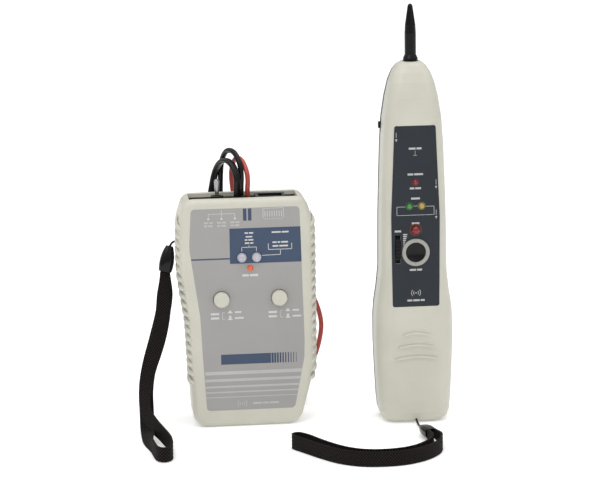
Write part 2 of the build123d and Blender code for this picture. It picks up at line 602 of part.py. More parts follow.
def probe_tip():
    """The pick-up tip: a flange inside the shells, a domed collar, a plain shank and a long taper."""
    base = TIP_BASE
    profile = Polyline((0, 187.2), (4.6, 187.2), (4.6, 189.0), (3.6, 189.0), (3.6, base), (3.95, base + 0.2),
                       (3.85, base + 1.6), (3.3, base + 2.8), (3.0, base + 3.4), (3.0, base + 14.5),
                       (2.75, base + 19), (1.3, TIP_TOP - 1.2), (0.8, TIP_TOP - 0.3), (0, TIP_TOP), close=True)
    tip = revolve(Plane.XZ * make_face(profile), Axis.Z)
    return Pos(PROBE_X, PROBE_Y, 0) * (tip - rod_z(0, 0, 180, TIP_TOP - 4, 0.75))


def antenna_rod():
    return rod_z(PROBE_X, PROBE_Y, 178, TIP_TOP - 4.2, 0.7)


def probe_board():
    board = block(PROBE_X - 13, PROBE_X + 13, PROBE_BOARD[0], PROBE_BOARD[1], 64.5, 150)
    board -= block(PROBE_X - 14, PROBE_X - 7.95, -13, -10, VOLUME_Z - 10.4, VOLUME_Z + 10.4)
    chip = block(PROBE_X - 6, PROBE_X + 4, PROBE_BOARD[1], PROBE_BOARD[1] + 1.6, 70, 78)
    return [board, chip]


def speaker():
    cup = rod_y(PROBE_X, SPEAKER_Z, -1.3, 2.9, 10.5)
    cup -= rod_y(PROBE_X, SPEAKER_Z, 2.0, 4, 9.5)
    magnet = rod_y(PROBE_X, SPEAKER_Z, -3.3, -1.3, 5.5)
    return cup + magnet


def trace_bezel():
    ring = rod_y(PROBE_X, TRACE_Z, PROBE_FRONT - 1, PROBE_FRONT, BEZEL_RADIUS)
    ring += rod_y(PROBE_X, TRACE_Z, PROBE_FRONT, PROBE_FRONT + WALL + 0.5, BEZEL_NECK)
    ring -= rod_y(PROBE_X, TRACE_Z, PROBE_FRONT - 2, PROBE_FRONT + 4, BEZEL_BORE)
    return fillet(ring.faces().sort_by(Axis.Y)[0].edges(), 0.4)


def trace_button():
    """A round key with a dished face, held in by its flange."""
    face_y = PROBE_FRONT - 0.5
    key = rod_y(PROBE_X, TRACE_Z, face_y, PROBE_FRONT + WALL + 0.9, BEZEL_BORE - RUNNING_GAP)
    dish = 14.0
    key -= Pos(PROBE_X, face_y - dish + 0.9, TRACE_Z) * Sphere(dish)
    key += rod_y(PROBE_X, TRACE_Z, PROBE_FRONT + WALL + 0.8, PROBE_FRONT + WALL + 1.6, BEZEL_NECK - 0.3)
    return key + rod_y(PROBE_X, TRACE_Z, PROBE_FRONT + WALL + 1.5, -18.3, 1.5)


def trace_switch():
    return block(PROBE_X - 3, PROBE_X + 3, -16.9, PROBE_BOARD[0], TRACE_Z - 3, TRACE_Z + 3)


def volume_control():
    body = block(PROBE_X - 7.9, PROBE_X - 4.7, WHEEL_CENTRE_Y - 3.2, PROBE_BOARD[0],
                 VOLUME_Z - 4.5, VOLUME_Z + 4.5)
    return body + rod_x(WHEEL_CENTRE_Y, VOLUME_Z, PROBE_X - 10.9, PROBE_X - 7.9, 1.5)


def volume_wheel():
    middle = PROBE_X + VOLUME_X
    wheel = rod_x(WHEEL_CENTRE_Y, VOLUME_Z, middle - WHEEL_HALF, middle + WHEEL_HALF, WHEEL_RADIUS)
    wheel -= rod_x(WHEEL_CENTRE_Y, VOLUME_Z, middle - 2, middle + 2, 1.5 + SHAFT_GAP)
    notches = []
    count = 30
    for index in range(count):
        angle = 2 * pi * index / count
        notches.append(rod_x(WHEEL_CENTRE_Y + WHEEL_RADIUS * cos(angle), VOLUME_Z + WHEEL_RADIUS * sin(angle),
                             middle - 2, middle + 2, 0.5))
    return wheel - notches


def mode_switch_body():
    y0, y1, half_long = MODE_SLOT
    body = block(PROBE_X - 12.4, PROBE_X - 8.6, y0 - 1, y1 + 1,
                 MODE_Z - half_long - 1.5, MODE_Z + half_long + 1.5)
    return body - block(PROBE_X - 14, PROBE_X - 10.9, y0 - 0.1, y1 + 0.1,
                        MODE_Z - half_long, MODE_Z + half_long)


def mode_switch_knob():
    y0, y1, half_long = MODE_SLOT
    gap = RUNNING_GAP
    return block(PROBE_X - 16.5, PROBE_X - 10.9 - gap, y0 + gap, y1 - gap, MODE_Z - 1.65, MODE_Z + 1.65)


def earphone_jack():
    y, z = EARPHONE
    body = block(PROBE_X + 4.5, PROBE_X + 14.2, y - 2.6, y + 2.6, z - 3.2, z + 3.2)
    body += rod_x(y, z, PROBE_X + 14.2, PROBE_X + 16.4, 2.4)
    return body - rod_x(y, z, PROBE_X + 5.5, PROBE_X + 18, EARPHONE_BORE)


def telephone_jack():
    y, z = TELEPHONE
    body = block(PROBE_X + 3.2, PROBE_X + 14.5, y - 5.7, y + 5.3, z - 6.5, z + 6.5)
    return body - block(PROBE_X + 4.6, PROBE_X + 16, y - 3.4, y + 3.4, z - 4.9, z + 4.9)


TONER_STRING_ROUTE = [(-32.4, -5.0, 99.8), (-37.8, -5.0, 99.8), (-39.6, -5.4, 97.2)]
PROBE_STRING_ROUTE = [(88.3, -17.4, 3.6), (88.3, -22.6, 1.5), (88.1, -33.0, 1.3), (88.2, -43.4, 3.6)]
TONER_CRIMP = ((-39.6, -5.4, 97.4), (-42.4, -6.2, 84.2))
PROBE_CRIMP = ((88.2, -43.4, 3.6), (90.6, -57.4, 4.0))


# ---------------------------------------------------------------- write every node
save("toner_front_shell", toner_front_shell())
save("toner_rear_shell", toner_rear_shell())
save("toner_front_label", toner_label())
save("toner_connector_plate", toner_connector_plate())
save("toner_battery", battery(0, 2.9, BATTERY_Z))
save("toner_battery_snap", *battery_snap(0, 2.9, BATTERY_Z, -0.8, 64))
save("toner_battery_door", toner_battery_door())
save("toner_circuit_board", *toner_board())
save("toner_mode_toggle_body", toggle_body())
save("toner_mode_toggle_nut", toggle_nut())
save("toner_mode_toggle_lever", toggle_lever())
save("toner_network_jack", network_jack())
save("toner_network_jack_contacts", *network_contacts())
save("toner_lead_grommet", grommet())
save("toner_talk_button", toner_button(TALK_X))
save("toner_tone_button", toner_button(TONE_X))
save("toner_button_switches", button_switch(TALK_X), button_switch(TONE_X))
save("toner_line_leds", *[led(x, z, TONER_FRONT, TONER_BOARD[0], LED_LARGE) for x, z in LINE_LEDS])
save("toner_low_battery_led", led(*LOW_BATTERY_LED, TONER_FRONT, TONER_BOARD[0], LED_SMALL))
save("toner_case_screws", *[case_screw(x, z, TONER_BACK - 0.5, -8.5) for x, z in TONER_SCREWS])

knot = Pos(*TONER_STRING_ROUTE[0]) * Sphere(1.2)
save("toner_strap_string", cord_tube(TONER_STRING_ROUTE, STRING) + knot)
save("toner_strap_crimp", strap_crimp(*TONER_CRIMP, 6.8, 6.4))
save_cord("toner_strap_band", TONER_STRAP_ROUTE, STRAP)
save_cord("black_test_lead", BLACK_ROUTE, BLACK_LEAD)
save_cord("red_test_lead", RED_ROUTE, RED_LEAD)
save_cord("telephone_lead", TELEPHONE_ROUTE, TELEPHONE_LEAD)
save("black_clip_fixed_jaw", place_clip(fixed_jaw(BLACK_LEAD), BLACK_CLIP))
save("black_clip_moving_jaw", place_clip(moving_jaw(), BLACK_CLIP))
save("red_clip_fixed_jaw", place_clip(fixed_jaw(RED_LEAD), RED_CLIP))
save("red_clip_moving_jaw", place_clip(moving_jaw(), RED_CLIP))
save("telephone_plug", telephone_plug(*PLUG))
save("telephone_plug_latch", telephone_plug_latch(*PLUG))
save("telephone_plug_contacts", *telephone_plug_contacts(*PLUG))
pin = Pos(0, 0, CLIP_PIVOT_Z) * Rot(90, 0, 0) * Cylinder(0.75, 6.6)
save("clip_pivot_pins", place_clip(pin, BLACK_CLIP), place_clip(pin, RED_CLIP))

save("probe_front_shell", probe_front_shell())
save("probe_rear_shell", probe_rear_shell())
save("probe_front_label", probe_label())
save("probe_tip", probe_tip())
save("probe_antenna_rod", antenna_rod())
save("probe_battery", battery(PROBE_X, PROBE_Y + 2.6, BATTERY_Z))
save("probe_battery_snap", *battery_snap(PROBE_X, PROBE_Y + 2.6, BATTERY_Z, -10.1, 70))
save("probe_battery_door", probe_battery_door())
save("probe_circuit_board", *probe_board())
save("probe_speaker", speaker())
save("probe_trace_bezel", trace_bezel())
save("probe_trace_button", trace_button())
save("probe_trace_switch", trace_switch())
save("probe_volume_control", volume_control())
save("probe_volume_wheel", volume_wheel())
save("probe_mode_switch_body", mode_switch_body())
save("probe_mode_switch_knob", mode_switch_knob())
save("probe_earphone_jack", earphone_jack())
save("probe_telephone_jack", telephone_jack())
lamps = [led(PROBE_X + x, z, PROBE_FRONT, PROBE_BOARD[0], diameter) for x, z, diameter in PROBE_LAMPS]
save("probe_red_leds", lamps[0], lamps[3])
save("probe_normal_led", lamps[1])
save("probe_reverse_led", lamps[2])
save("probe_case_screws", *[case_screw(PROBE_X + x, z, PROBE_BACK - 0.5, -11.5) for x, z in PROBE_SCREWS])
save("probe_strap_string", cord_tube(PROBE_STRING_ROUTE, STRING) + Pos(*PROBE_STRING_ROUTE[0]) * Sphere(1.2))
save("probe_strap_crimp", strap_crimp(*PROBE_CRIMP, 6.4, 5.0))
save_cord("probe_strap_band", PROBE_STRAP_ROUTE, STRAP)
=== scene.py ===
import json
from math import cos, pi, radians, sin

import bmesh
import bpy
from mathutils import Euler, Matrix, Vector


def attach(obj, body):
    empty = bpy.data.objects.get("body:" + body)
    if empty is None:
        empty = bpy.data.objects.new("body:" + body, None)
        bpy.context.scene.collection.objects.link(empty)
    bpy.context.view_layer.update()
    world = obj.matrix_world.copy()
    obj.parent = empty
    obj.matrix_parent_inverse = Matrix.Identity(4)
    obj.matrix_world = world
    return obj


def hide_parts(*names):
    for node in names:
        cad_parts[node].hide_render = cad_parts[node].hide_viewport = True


# Looks for the tone probe kit: a toner with its leads, and a probe, standing side by side.
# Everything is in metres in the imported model's own frame; MM turns millimetres into metres.

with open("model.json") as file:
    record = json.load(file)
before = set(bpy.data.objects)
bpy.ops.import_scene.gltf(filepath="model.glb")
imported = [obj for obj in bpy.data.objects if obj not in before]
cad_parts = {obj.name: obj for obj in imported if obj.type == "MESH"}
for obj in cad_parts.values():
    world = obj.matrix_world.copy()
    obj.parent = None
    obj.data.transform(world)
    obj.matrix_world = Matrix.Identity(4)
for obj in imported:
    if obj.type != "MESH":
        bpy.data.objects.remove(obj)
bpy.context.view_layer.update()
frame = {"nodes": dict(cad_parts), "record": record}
MM = 0.001

TONER = "toner"
PROBE = "probe"
PROBE_X = 88.3            # the probe's own upright axis
LABEL_Y = -14.0           # the toner label's front face
PROBE_LABEL_Y = -23.5


def add_object(name, data):
    obj = bpy.data.objects.new(name, data)
    bpy.context.scene.collection.objects.link(obj)
    return obj


def smooth(share):
    """A share from 0 to 1, eased at both ends."""
    return share * share * (3 - 2 * share)


# ---------------------------------------------------------------- camera
AIM = Vector((29.9, 0.0, 97.0)) * MM
CAMERA_AZIMUTH = -6.0
CAMERA_ELEVATION = 11.4
CAMERA_DISTANCE = 1325.6 * MM
CAMERA_ROLL = 0.9
LENS = 150                # focal length in millimetres


def make_camera():
    azimuth = radians(CAMERA_AZIMUTH)
    elevation = radians(CAMERA_ELEVATION)
    back = Vector((sin(azimuth) * cos(elevation), -cos(azimuth) * cos(elevation), sin(elevation)))
    data = bpy.data.cameras.new("camera")
    data.lens = LENS
    data.clip_start = 0.01
    data.clip_end = 20
    camera = add_object("camera", data)
    camera.location = AIM + back * CAMERA_DISTANCE
    facing = (-back).to_track_quat("-Z", "Y")
    camera.rotation_mode = "QUATERNION"
    camera.rotation_quaternion = facing @ Euler((0, 0, radians(-CAMERA_ROLL))).to_quaternion()
    bpy.context.scene.camera = camera
    bpy.context.scene.view_settings.view_transform = "Standard"


make_camera()


# ---------------------------------------------------------------- material helpers
class Shader:
    """A node material being built: its tree, its Principled shader and short ways to add to them."""

    def __init__(self, name, colour, roughness, **settings):
        self.material = bpy.data.materials.new(name)
        self.material.use_nodes = True
        self.tree = self.material.node_tree
        self.principled = self.tree.nodes["Principled BSDF"]
        self.set("Base Color", (*colour, 1))
        self.set("Roughness", roughness)
        for socket, value in settings.items():
            self.set(socket.replace("_", " "), value)
        self.material.diffuse_color = (*colour, 1)

    def set(self, socket, value):
        self.principled.inputs[socket].default_value = value

    def node(self, kind, **settings):
        made = self.tree.nodes.new(kind)
        for key, value in settings.items():
            setattr(made, key, value)
        return made

    def link(self, source, target):
        self.tree.links.new(source, target)

    def place(self):
        """Coordinates fixed to the object, in metres."""
        return self.node("ShaderNodeTexCoord").outputs["Object"]

    def noise(self, scale, detail=2.0):
        made = self.node("ShaderNodeTexNoise")
        made.inputs["Scale"].default_value = scale
        made.inputs["Detail"].default_value = detail
        self.link(self.place(), made.inputs["Vector"])
        return made.outputs["Fac"]

    def vary_colour(self, factor, dark, light, low=0.35, high=0.65):
        ramp = self.node("ShaderNodeValToRGB")
        ramp.color_ramp.elements[0].position = low
        ramp.color_ramp.elements[0].color = (*dark, 1)
        ramp.color_ramp.elements[1].position = high
        ramp.color_ramp.elements[1].color = (*light, 1)
        self.link(factor, ramp.inputs["Fac"])
        self.link(ramp.outputs["Color"], self.principled.inputs["Base Color"])

    def vary_roughness(self, factor, low, high):
        spread = self.node("ShaderNodeMapRange")
        spread.inputs["To Min"].default_value = low
        spread.inputs["To Max"].default_value = high
        self.link(factor, spread.inputs["Value"])
        self.link(spread.outputs["Result"], self.principled.inputs["Roughness"])

    def bump(self, height, strength, distance):
        made = self.node("ShaderNodeBump")
        made.inputs["Strength"].default_value = strength
        made.inputs["Distance"].default_value = distance
        self.link(height, made.inputs["Height"])
        self.link(made.outputs["Normal"], self.principled.inputs["Normal"])


def scaled(colour, factor):
    return tuple(min(1.0, part * factor) for part in colour)


def moulded(name, colour, roughness=0.45, grain=0.25, mottle=0.03, **settings):
    """Moulded plastic: a fine spark-eroded grain, faint blotches in its colour and in its gloss."""
    made = Shader(name, colour, roughness, **settings)
    fine = made.noise(2600, 3)
    broad = made.noise(60, 3)
    made.vary_colour(broad, scaled(colour, 1 - mottle), scaled(colour, 1 + mottle))
    made.vary_roughness(broad, roughness - 0.05, roughness + 0.06)
    made.bump(fine, grain, 0.00008)
    return made.material


def lens(name, colour, glow):
    """A lamp's coloured resin: clear over a lit core."""
    made = Shader(name, colour, 0.08, IOR=1.5)
    made.set("Coat Weight", 0.3)
    made.set("Coat Roughness", 0.05)
    made.set("Subsurface Weight", 0.25)
    made.set("Subsurface Radius", (0.002, 0.002, 0.002))
    made.set("Emission Color", (*colour, 1))
    made.set("Emission Strength", glow)
    made.vary_colour(made.noise(700, 2), scaled(colour, 0.85), scaled(colour, 1.1))
    return made.material


def metal(name, colour, roughness, scratch=0.1):
    made = Shader(name, colour, roughness, Metallic=1.0)
    fine = made.noise(900, 4)
    made.vary_roughness(fine, roughness * 0.7, roughness * 1.4 + 0.03)
    made.bump(fine, scratch, 0.00003)
    return made.material


def woven(name, dark, light, pitch):
    """Webbing: crossed ribs read from the two coordinates that the band's UV map gives, in metres. The rib
    crests take the lighter colour, a painted highlight, besides being bumped.
    """
    made = Shader(name, dark, 0.85, Specular_IOR_Level=0.15)
    uv = made.node("ShaderNodeUVMap", uv_map="band")
    split = made.node("ShaderNodeSeparateXYZ")
    made.link(uv.outputs["UV"], split.inputs["Vector"])
    waves = []
    for axis, repeat in (("X", pitch), ("Y", pitch * 0.8)):
        scale = made.node("ShaderNodeMath", operation="MULTIPLY")
        scale.inputs[1].default_value = 2 * pi / repeat
        made.link(split.outputs[axis], scale.inputs[0])
        wave = made.node("ShaderNodeMath", operation="SINE")
        made.link(scale.outputs[0], wave.inputs[0])
        waves.append(wave.outputs[0])
    crossed = made.node("ShaderNodeMath", operation="MULTIPLY")
    made.link(waves[0], crossed.inputs[0])
    made.link(waves[1], crossed.inputs[1])
    half = made.node("ShaderNodeMath", operation="MULTIPLY_ADD")
    half.inputs[1].default_value = 0.5
    half.inputs[2].default_value = 0.5
    made.link(crossed.outputs[0], half.inputs[0])
    # painted highlight: the crests of the crossed ribs get the lighter colour
    made.vary_colour(half.outputs[0], dark, light, 0.5, 1.0)
    made.bump(half.outputs[0], 0.9, 0.0004)
    return made.material


CREAM = (0.515, 0.505, 0.432)
LABEL_GREY = (0.305, 0.295, 0.286)
PRINT_BLUE = (0.026, 0.050, 0.100)
PRINT_LIGHT = (0.54, 0.54, 0.53)
SLATE = (0.019, 0.024, 0.031)
DIM = {"Specular_IOR_Level": 0.22}      # dark plastics that shine less than a plain dielectric would

MATERIALS = {
    "cream_plastic": moulded("cream_plastic", CREAM, 0.42),
    "black_plastic": moulded("black_plastic", (0.007, 0.007, 0.008), 0.42, 0.4, 0.03, **DIM),
    "tip_plastic": moulded("tip_plastic", (0.002, 0.002, 0.002), 0.24, 0.2, 0.03, **DIM),
    "crimp_plastic": moulded("crimp_plastic", (0.004, 0.004, 0.004), 0.16, 0.1, 0.03, **DIM),
    "key_plastic": moulded("key_plastic", (0.004, 0.004, 0.005), 0.22, 0.12, 0.03, **DIM),
    "wheel_plastic": moulded("wheel_plastic", (0.005, 0.005, 0.005), 0.5, 0.4, 0.03, **DIM),
    "bezel_plastic": moulded("bezel_plastic", (0.30, 0.295, 0.27), 0.4, 0.3),
    "plate_plastic": moulded("plate_plastic", (0.32, 0.32, 0.31), 0.5, 0.4),
    "grommet_rubber": moulded("grommet_rubber", (0.006, 0.006, 0.006), 0.38, 0.3, 0.03, **DIM),
    "toner_label_film": moulded("toner_label_film", LABEL_GREY, 0.4, 0.5, 0.015),
    "probe_label_film": moulded("probe_label_film", SLATE, 0.4, 0.5, 0.05, **DIM),
    "chrome": metal("chrome", (0.30, 0.30, 0.31), 0.1, 0.02),
    "nickel": metal("nickel", (0.46, 0.44, 0.40), 0.26),
    "screw_steel": metal("screw_steel", (0.50, 0.50, 0.50), 0.3),
    "contact_gold": metal("contact_gold", (0.83, 0.60, 0.24), 0.2),
    "antenna_metal": metal("antenna_metal", (0.72, 0.55, 0.30), 0.3),
    "board_green": moulded("board_green", (0.02, 0.13, 0.05), 0.3, 0.3, 0.15),
    "battery_case": moulded("battery_case", (0.06, 0.06, 0.07), 0.3, 0.15),
    "snap_plastic": moulded("snap_plastic", (0.02, 0.02, 0.02), 0.6, 0.4),
    "speaker_metal": metal("speaker_metal", (0.45, 0.45, 0.46), 0.35),
    "white_lens": lens("white_lens", (0.42, 0.42, 0.47), 0.05),
    "orange_lens": lens("orange_lens", (0.66, 0.10, 0.015), 0.12),
    "red_lens": lens("red_lens", (0.16, 0.006, 0.004), 0.03),
    "green_lens": lens("green_lens", (0.04, 0.20, 0.03), 0.08),
    "yellow_lens": lens("yellow_lens", (0.36, 0.27, 0.05), 0.08),
    "black_cord": moulded("black_cord", (0.005, 0.005, 0.005), 0.25, 0.2, 0.03, **DIM),
    "red_cord": moulded("red_cord", (0.40, 0.050, 0.040), 0.32, 0.2),
    # the second colour is a painted highlight on the rib crests
    "webbing": woven("webbing", (0.001, 0.0007, 0.0007), (0.040, 0.026, 0.026), 0.0018),
    "string": moulded("string", (0.006, 0.006, 0.006), 0.6, 0.8, 0.03, **DIM),
    "clear_plastic": moulded("clear_plastic", (0.75, 0.78, 0.80), 0.15, 0.1, 0.02, Transmission_Weight=0.7),
}
PRINT_MATERIALS = {
    "light": moulded("print_light", PRINT_LIGHT, 0.4, 0.3),
    "blue": moulded("print_blue", PRINT_BLUE, 0.35, 0.3),
    "pale": moulded("print_pale", (0.42, 0.42, 0.41), 0.4, 0.3),
    # painted shade: the dark colour of the thin marks laid between the grip bumps
    "painted_shade": moulded("grip_painted_shade", (0.27, 0.265, 0.23), 0.6, 0.3),
    # painted glow: flat discs coloured like the light each lamp throws on the label
    "red_painted_glow": moulded("red_painted_glow", (0.085, 0.014, 0.012), 0.4, 0.3),
    "green_painted_glow": moulded("green_painted_glow", (0.016, 0.060, 0.022), 0.4, 0.3),
    "yellow_painted_glow": moulded("yellow_painted_glow", (0.10, 0.085, 0.03), 0.4, 0.3),
}


# ---------------------------------------------------------------- mesh helpers
def new_mesh(name, verts, faces, material, sharp=40):
    """A smooth-shaded mesh piece from points in millimetres."""
    mesh = bpy.data.meshes.new(name)
    mesh.from_pydata([Vector(v) * MM for v in verts], [], faces)
    mesh.validate()
    made = bmesh.new()
    made.from_mesh(mesh)
    bmesh.ops.recalc_face_normals(made, faces=made.faces)
    made.to_mesh(mesh)
    made.free()
    mesh.shade_smooth()
    mesh.set_sharp_from_angle(angle=radians(sharp))
    mesh.materials.append(material)
    return add_object(name, mesh)


def place_piece(obj, body, slot, *nodes):
    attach(obj, body)
    if nodes:
        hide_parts(*nodes)


def joined(parts):
    """Several (verts, faces) lists as one."""
    verts = []
    faces = []
    for some_verts, some_faces in parts:
        start = len(verts)
        verts += some_verts
        faces += [tuple(start + index for index in face) for face in some_faces]
    return verts, faces


def ring_faces(rings, around):
    """The faces between neighbouring rings of points, each ring with the same count."""
    faces = []
    for row in range(rings - 1):
        for index in range(around):
            after = (index + 1) % around
            faces.append((row * around + index, row * around + after,
                          (row + 1) * around + after, (row + 1) * around + index))
    return faces


def box_part(x0, x1, y0, y1, z0, z1):
    verts = [(x, y, z) for x in (x0, x1) for y in (y0, y1) for z in (z0, z1)]
    faces = [(0, 1, 3, 2), (4, 6, 7, 5), (0, 4, 5, 1), (2, 3, 7, 6), (0, 2, 6, 4), (1, 5, 7, 3)]
    return verts, faces


# ---------------------------------------------------------------- cords
def smooth_curve(name, route, steps):
    """A smooth NURBS curve that has a route's points as its control points."""
    data = bpy.data.curves.new(name, "CURVE")
    data.dimensions = "3D"
    spline = data.splines.new("NURBS")
    spline.points.add(len(route) - 1)
    for point, place in zip(spline.points, route):
        point.co = (*(Vector(place) * MM), 1)
    spline.order_u = 3
    spline.use_endpoint_u = True
    spline.resolution_u = steps
    return data


def spline_points(name, route, steps=10):
    """The points of a route's smooth curve, in metres, from the route's first point on."""
    line = add_object(name, smooth_curve(name, route, steps))
    mesh = bpy.data.meshes.new_from_object(line)
    points = [vertex.co.copy() for vertex in mesh.vertices]
    bpy.data.objects.remove(line)
    bpy.data.meshes.remove(mesh)
    start = Vector(route[0]) * MM
    if (points[0] - start).length > (points[-1] - start).length:
        points.reverse()
    return points


def length_of(points):
    return sum((after - before).length for before, after in zip(points, points[1:]))


def round_cord(name, route, diameter, material):
    """A round cord: a NURBS curve on the route, given a round section."""
    data = smooth_curve(name, route, 14)
    data.bevel_depth = diameter / 2 * MM
    data.bevel_resolution = 6
    data.use_fill_caps = True
    data.materials.append(material)
    return add_object(name, data)


def rounded_section(width, thick, corner, steps=3):
    """A rounded rectangle as (across, up) pairs, starting on its right side."""
    points = []
    corners = ((1, 1), (-1, 1), (-1, -1), (1, -1))
    for turn, (sx, sy) in enumerate(corners):
        for step in range(steps + 1):
            angle = (turn + step / steps) * pi / 2
            points.append((sx * (width / 2 - corner) + corner * cos(angle),
                           sy * (thick / 2 - corner) + corner * sin(angle)))
    return points


def ribbed_section(width, thick, ribs=4, count=14):
    """Flat webbing: pointed selvedges and shallow lengthwise ribs on each face."""
    points = []
    for index in range(count + 1):
        across = width * (0.47 - 0.94 * index / count)
        rise = thick / 2 * (0.86 + 0.14 * cos(2 * pi * ribs * index / count))
        points.append((across, rise))
    return [(width / 2, 0)] + points + [(-width / 2, 0)] + [(a, -u) for a, u in reversed(points)]


STRAP_PINCH = 0.014       # length over which a strap's ends are gathered, in metres
PINCHED_SHARE = 0.66      # width of a gathered end, as a share of the full width


def pinch_share(place, total, pinch):
    """How wide a band is at a place along it, as a share of its full width."""
    if not pinch:
        return 1.0
    from_end = min(place, total - place, pinch) / pinch
    return PINCHED_SHARE + (1 - PINCHED_SHARE) * smooth(from_end)


def band(name, points, section, facings, material, pinch=0.0):
    """A flat band along a line. facings are the width directions at even steps along the line.

    With a pinch, in metres, the band is gathered over that length at both ends.
    """
    around = len(section)
    count = len(points)
    along = [0.0]
    for before, after in zip(points, points[1:]):
        along.append(along[-1] + (after - before).length)
    verts = []
    for index, point in enumerate(points):
        before = points[max(index - 1, 0)]
        after = points[min(index + 1, count - 1)]
        tangent = (after - before).normalized()
        share = along[index] / along[-1] * (len(facings) - 1)
        low = min(int(share), len(facings) - 2)
        wide = Vector(facings[low]).lerp(Vector(facings[low + 1]), smooth(share - low))
        wide = (wide - tangent * wide.dot(tangent)).normalized()
        up = tangent.cross(wide)
        spread = pinch_share(along[index], along[-1], pinch)
        for across, rise in section:
            verts.append((point + (wide * across * spread + up * rise) * MM) / MM)
    faces = ring_faces(count, around)
    faces.append(tuple(range(around)))
    faces.append(tuple((count - 1) * around + index for index in range(around)))
    obj = new_mesh(name, verts, faces, material, sharp=60)
    layer = obj.data.uv_layers.new(name="band")
    for loop in obj.data.loops:
        row, index = divmod(loop.vertex_index, around)
        layer.data[loop.index].uv = (section[index][0] * MM, along[row])
    return obj


BARREL_Z = 2.1
BLACK_ROUTE = [
    (-0.9, 0.9, 119.6), (-0.9, 0.9, 126.0), (-0.5, 0.5, 132.6), (-1.0, 1.4, 139.0), (-3.5, 6.5, 144.6),
    (-7.1, 13.7, 144.6), (-9.5, 19.2, 138.4), (-10.2, 20.4, 129.0), (-10.6, 19.6, 115.0), (-14.6, 20.0, 93.0),
    (-18.6, 19.6, 67.0), (-18.9, 20.6, 44.0), (-18.7, 22.8, 27.0), (-17.4, 27.0, 14.0), (-14.2, 33.0, 6.0),
    (-9.8, 39.0, 2.8), (-6.6, 45.0, BARREL_Z), (-6.0, 51.6, BARREL_Z), (-6.0, 58.0, BARREL_Z),
]
RED_ROUTE = [
    (2.4, 0.3, 120.0), (2.4, 0.3, 125.0), (2.9, -0.1, 130.2), (2.3, 0.9, 135.4), (0.3, 6.2, 140.4),
    (-2.3, 13.5, 140.4), (-4.3, 19.0, 134.6), (-4.4, 20.0, 125.0), (-2.0, 19.4, 111.0), (5.0, 19.8, 96.0),
    (19.0, 19.4, 82.0), (35.8, 19.3, 69.0), (43.4, 19.6, 50.0), (42.0, 20.0, 36.5), (36.8, 21.6, 21.5),
    (34.2, 25.2, 11.0), (33.3, 31.0, 4.2), (33.0, 37.6, BARREL_Z), (33.0, 44.4, BARREL_Z),
]
TELEPHONE_ROUTE = [
    (-3.3, -2.6, 119.6), (-3.3, -2.6, 125.6), (-2.9, -3.1, 132.6), (-5.6, 2.4, 139.8), (-10.0, 11.8, 139.8),
    (-13.2, 19.2, 132.4), (-15.0, 20.6, 121.0), (-18.4, 20.0, 104.0), (-23.2, 20.6, 80.0), (-24.8, 20.2, 56.0),
    (-24.6, 21.4, 33.0), (-23.4, 25.6, 14.0), (-20.4, 34.6, 4.4), (-17.4, 45.4, 1.9),
    (-16.0, 55.4, 2.6), (-16.0, 64.6, 2.6),
]
TONER_STRAP_ROUTE = [
    (-42.6, -8.0, 84.0), (-43.2, -9.4, 70.4), (-45.0, -10.4, 56.4), (-48.6, -11.4, 43.4), (-52.8, -12.6, 32.0),
    (-55.4, -15.6, 21.0), (-55.6, -22.2, 12.0), (-52.0, -31.4, 8.0), (-47.4, -42.0, 5.2), (-44.6, -54.0, 4.4),
    (-43.9, -66.0, 4.2), (-44.8, -72.8, 4.2), (-48.4, -76.2, 4.2), (-52.0, -73.0, 4.2), (-53.2, -64.0, 4.2),
    (-54.2, -49.0, 3.6), (-54.8, -34.4, 2.8), (-54.6, -20.8, 3.2), (-54.2, -10.8, 8.6), (-54.4, -6.8, 21.0),
    (-52.0, -6.4, 34.2), (-47.8, -6.0, 47.6), (-44.0, -5.0, 61.0), (-42.0, -4.6, 73.0), (-42.2, -4.4, 84.0),
]
PROBE_STRAP_ROUTE = [
    (88.8, -57.6, 4.0), (90.0, -67.0, 4.0), (88.4, -76.6, 4.0), (82.6, -85.6, 4.0), (74.0, -92.6, 4.0),
    (63.6, -95.4, 4.0), (53.6, -94.8, 4.0), (45.2, -90.6, 4.0), (37.8, -82.2, 4.0), (30.8, -70.8, 4.0),
    (25.7, -60.6, 4.0), (20.9, -56.2, 4.0), (17.1, -59.8, 4.0), (22.7, -68.4, 4.0), (30.2, -80.8, 4.0),
    (38.6, -92.0, 4.0), (49.0, -98.6, 4.0), (60.6, -100.2, 4.0), (72.0, -98.8, 4.0), (82.4, -92.8, 4.0),
    (90.4, -83.6, 4.0), (94.0, -73.4, 4.0), (93.8, -63.4, 4.0), (92.4, -56.8, 4.0),
]


def lead(name, route, diameter, slot):
    obj = round_cord(name + "_cord", route, diameter, MATERIALS[slot])
    place_piece(obj, TONER, slot, name)
    length = length_of(spline_points("measure", route))


def telephone_cord():
    points = spline_points("telephone_line", TELEPHONE_ROUTE)
    across = [(0.75, 0.65, 0), (0.75, 0.65, 0), (1, 0.2, 0), (1, 0, 0), (1, 0, 0), (1, 0, 0), (1, 0, 0)]
    obj = band("telephone_cord", points, rounded_section(4.2, 2.4, 1.15), across, MATERIALS["black_cord"])
    place_piece(obj, TONER, "black_cord", "telephone_lead")


def strap(name, route, facings, body, nodes):
    points = spline_points(name + "_line", route, 12)
    obj = band(name + "_webbing", points, ribbed_section(8.0, 1.2), facings, MATERIALS["webbing"],
               STRAP_PINCH)
    place_piece(obj, body, "webbing", nodes["band"])


